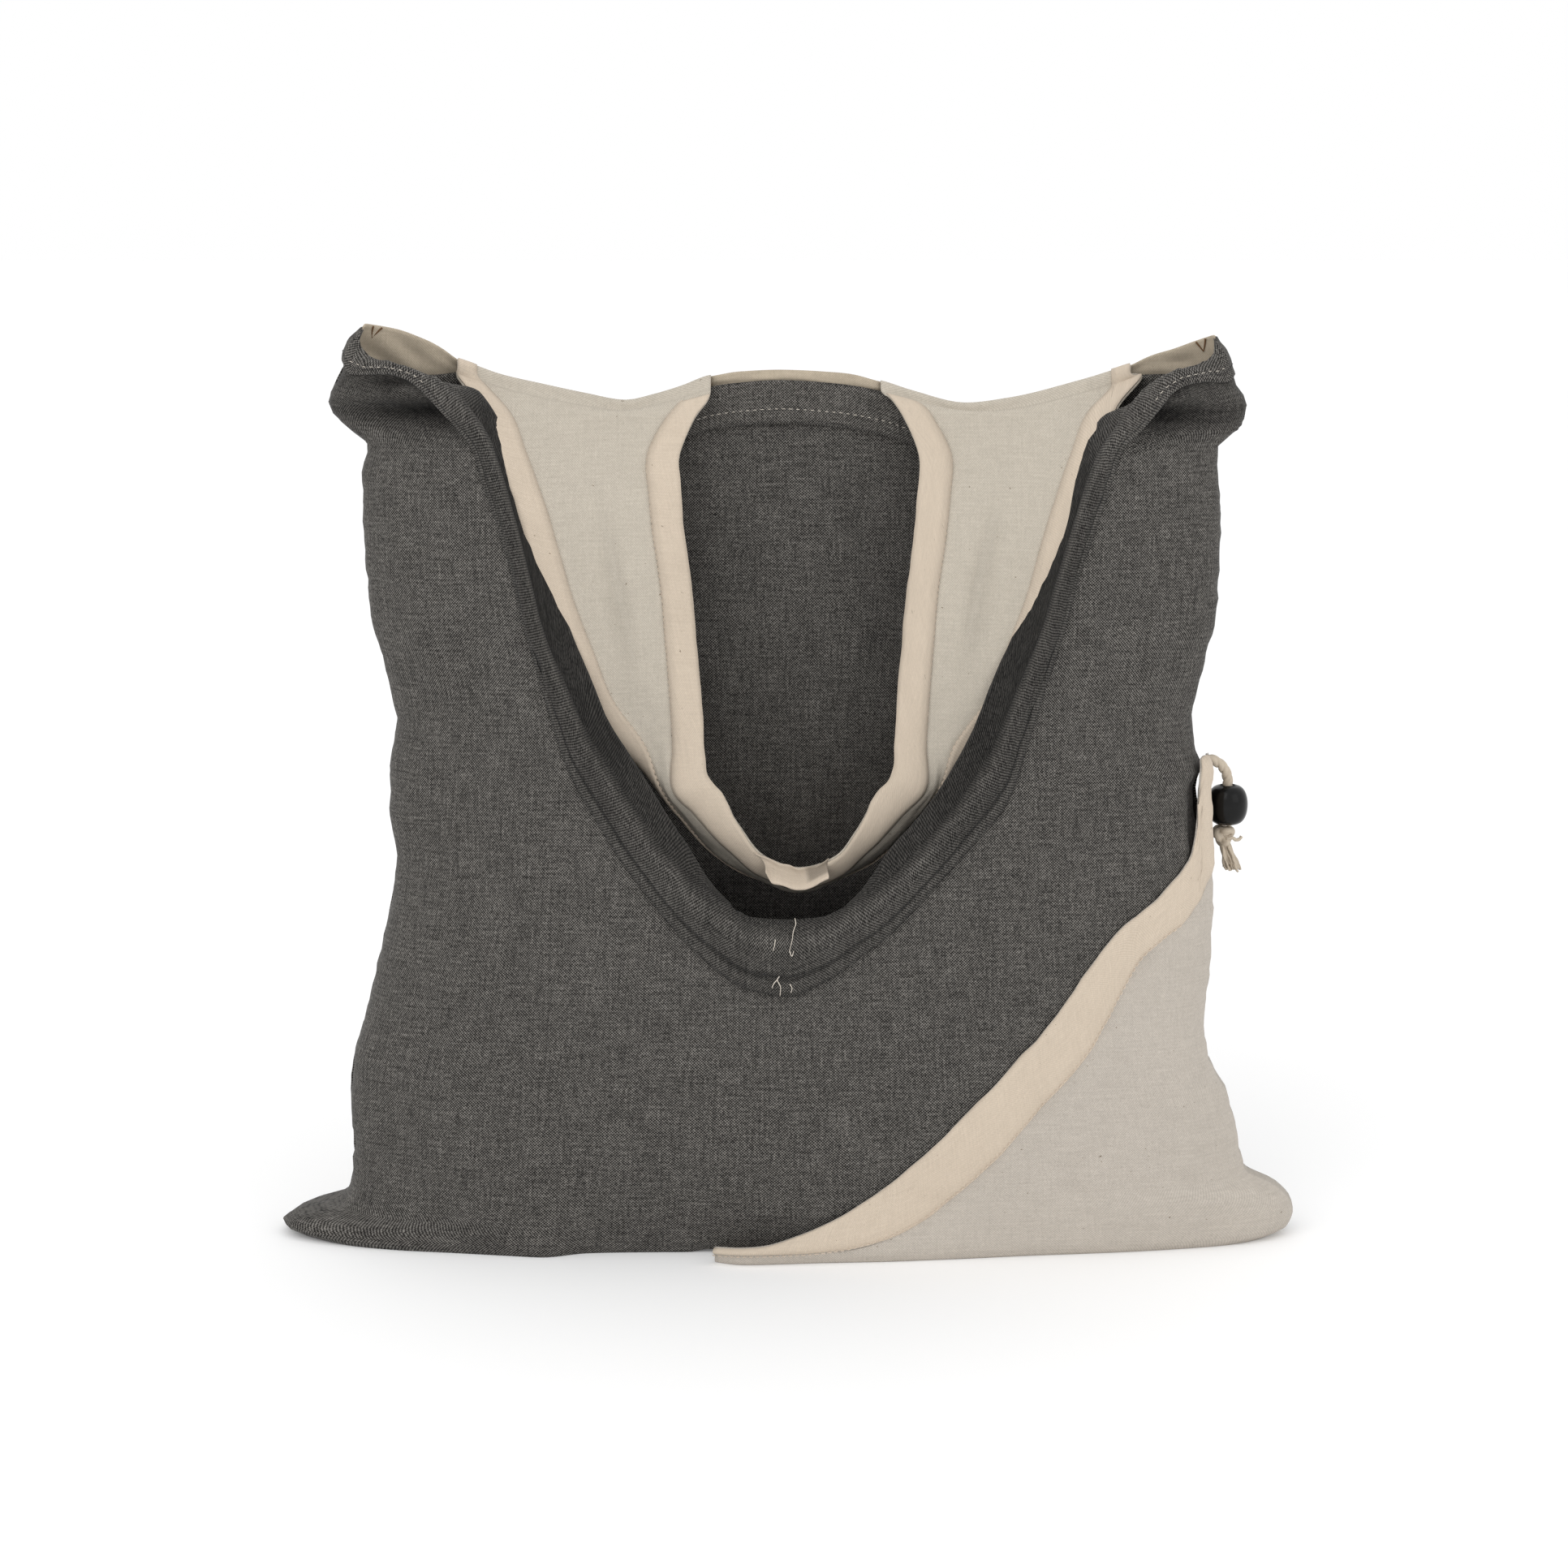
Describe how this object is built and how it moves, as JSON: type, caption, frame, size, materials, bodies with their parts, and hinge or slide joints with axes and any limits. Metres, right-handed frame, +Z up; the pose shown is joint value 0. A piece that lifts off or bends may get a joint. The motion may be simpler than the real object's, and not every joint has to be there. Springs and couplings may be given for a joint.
{
  "type": "shopping bag",
  "caption": "Foldaway cotton shopping bag standing open, charcoal cloth with a natural handle folded forward, hemmed edges, a corner pouch and a beaded draw cord.",
  "frame": {"origin": "bottom centre of the bounding box, on the floor", "axes": "+Z up, -Y towards the front panel with the pouch, +X towards the corner with the pouch"},
  "size_m": [0.4285, 0.1093, 0.3839],
  "materials": {
    "dark_cotton": "matte plain weave",
    "natural_cotton": "matte plain weave",
    "hem_cotton": "matte plain weave",
    "pouch_cotton": "matte plain weave",
    "black_gloss": "gloss",
    "cord_cotton": "matte twisted cotton"
  },
  "bodies": {
    "root": {"front_panel": "dark_cotton", "back_panel": "dark_cotton", "mouth_hem": "dark_cotton", "back_hem": "dark_cotton", "handle": "natural_cotton", "handle_outer_hem": "hem_cotton", "handle_inner_hem": "hem_cotton", "pouch": "pouch_cotton", "pouch_hem": "hem_cotton", "draw_cord": "cord_cotton", "cord_bead": "black_gloss", "cord_knot": "cord_cotton"}
  },
  "joints": []
}
